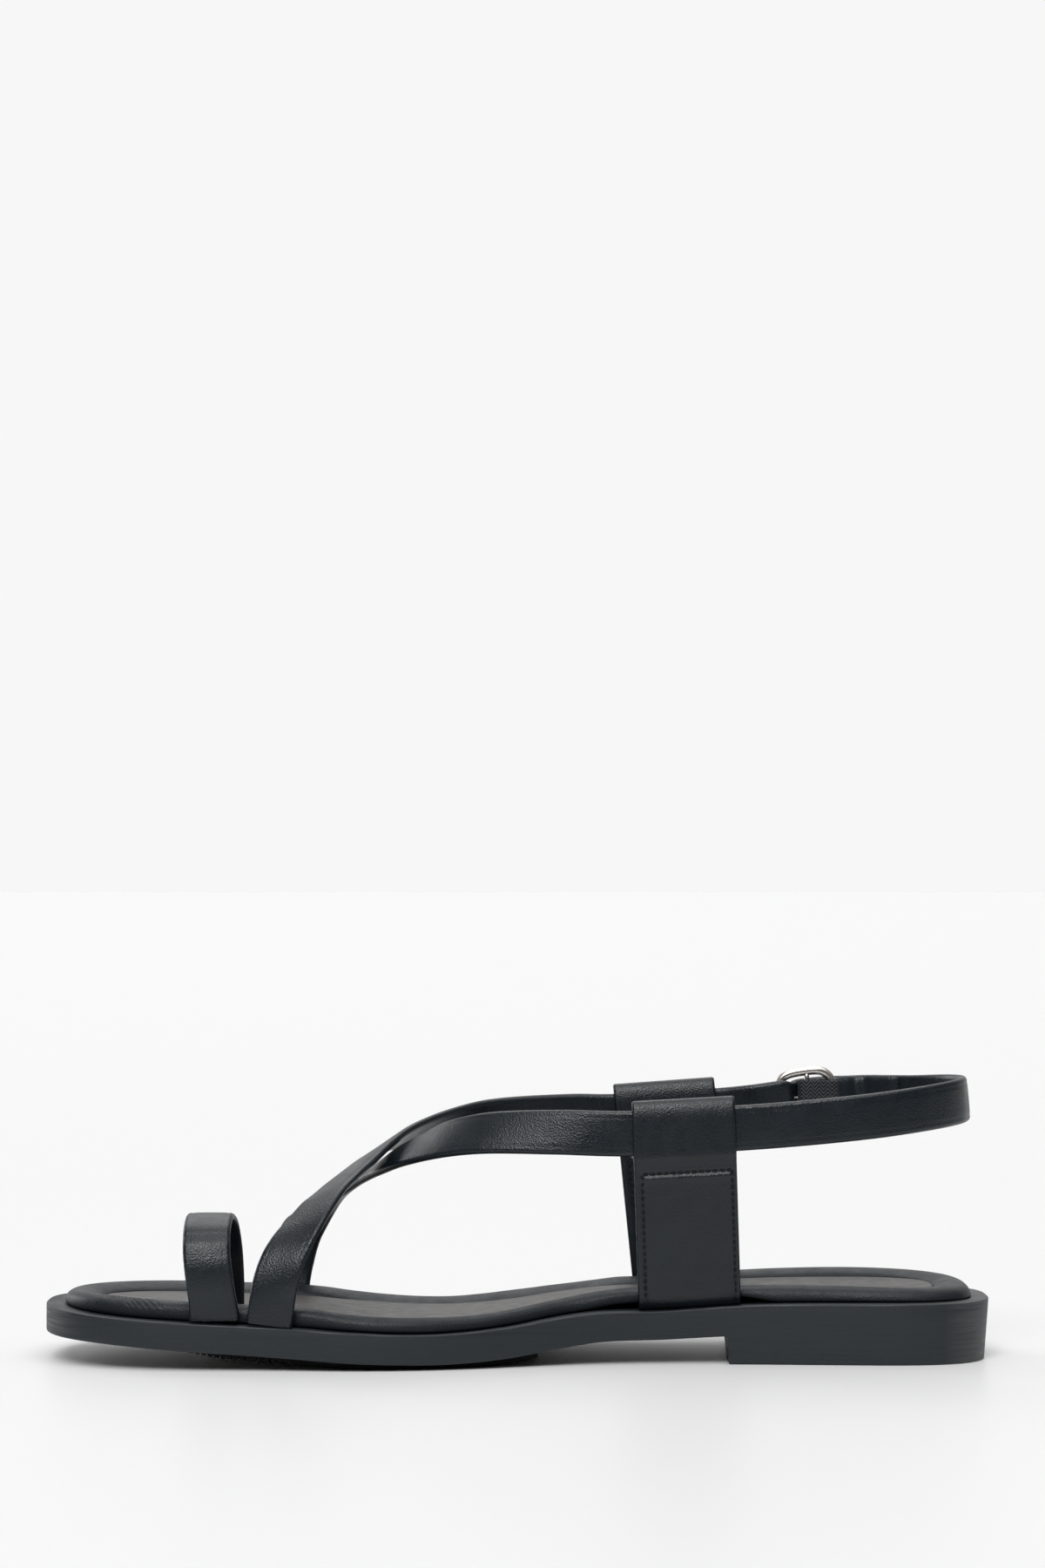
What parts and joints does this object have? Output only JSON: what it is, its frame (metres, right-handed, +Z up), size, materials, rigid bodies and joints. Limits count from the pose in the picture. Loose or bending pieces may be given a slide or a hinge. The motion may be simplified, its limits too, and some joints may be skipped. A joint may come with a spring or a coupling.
{
  "type": "toe loop sandal",
  "caption": "Flat black sandal for a right foot with a toe loop, straps crossing on the instep, a buckled heel strap held by folded side posts, a padded footbed and a low heel.",
  "frame": {"origin": "on the floor under the middle of the shoe's length and width", "axes": "+X from the toe to the heel, +Y towards the outer (lateral) side of the right foot, +Z up"},
  "size_m": [0.2506, 0.0882, 0.0756],
  "materials": {
    "sole_rubber": "matte",
    "tread_rubber": "matte",
    "footbed_leather": "matte",
    "strap_leather": "satin",
    "post_leather": "satin",
    "elastic": "woven",
    "buckle_metal": "polished"
  },
  "bodies": {
    "root": {"sole": "sole_rubber", "forefoot_tread": "tread_rubber", "footbed": "footbed_leather", "toe_loop": "strap_leather", "strap_upper": "strap_leather", "medial_post": "post_leather", "lateral_post": "post_leather", "elastic_gusset": "elastic", "buckle_frame": "buckle_metal", "buckle_prong": "buckle_metal"}
  },
  "joints": []
}
